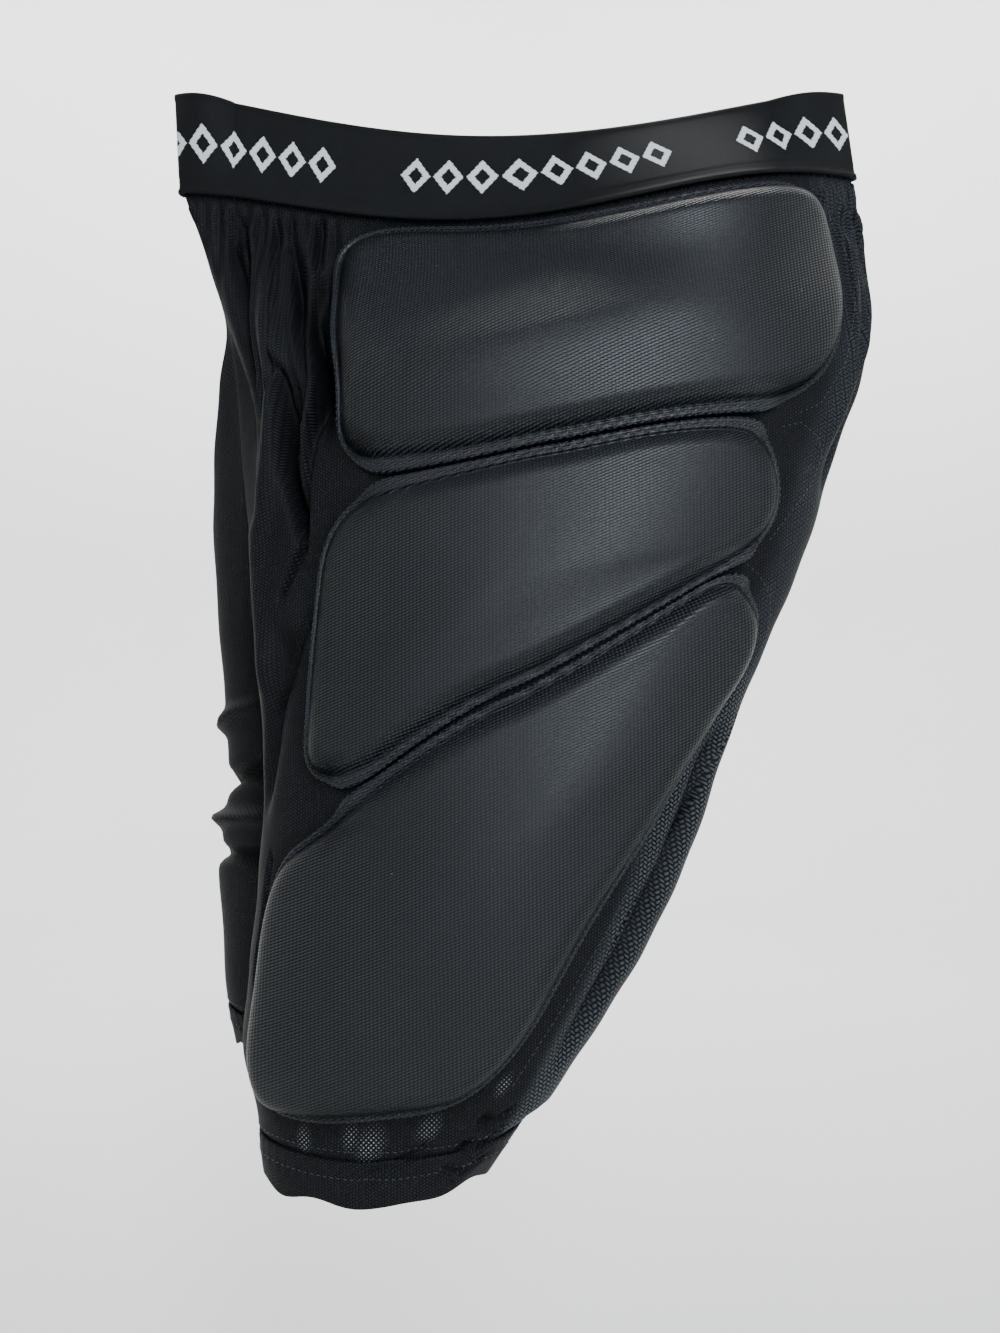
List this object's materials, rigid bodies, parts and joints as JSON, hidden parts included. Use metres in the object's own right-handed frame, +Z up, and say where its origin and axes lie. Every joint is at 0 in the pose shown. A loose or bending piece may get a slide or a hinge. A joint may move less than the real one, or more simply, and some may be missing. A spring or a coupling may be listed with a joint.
{
  "type": "padded hip shorts",
  "caption": "Close-fitting knit shorts with thick foam pads over the hip, side and thigh of each leg, an elastic waistband and stitched leg hems, shown hanging.",
  "frame": {"origin": "the line that the waistband hangs from, midway between the two places where it is gripped", "axes": "+Z up, +X towards the wearer's back, -Y towards the wearer's left side"},
  "size_m": [0.3473, 0.1801, 0.5216],
  "materials": {
    "elastic": "woven elastic, matte black with pale woven marks",
    "knit": "black knit with a fine raised grain",
    "hem": "black knit, turned and stitched",
    "pad_cover": "charcoal knit over foam, soft sheen"
  },
  "bodies": {
    "root": {"waistband": "elastic", "shorts_body": "knit", "hem_left": "hem", "hem_right": "hem", "hip_pad_left": "pad_cover", "hip_pad_right": "pad_cover", "side_pad_left": "pad_cover", "side_pad_right": "pad_cover", "thigh_pad_left": "pad_cover", "thigh_pad_right": "pad_cover"}
  },
  "joints": []
}
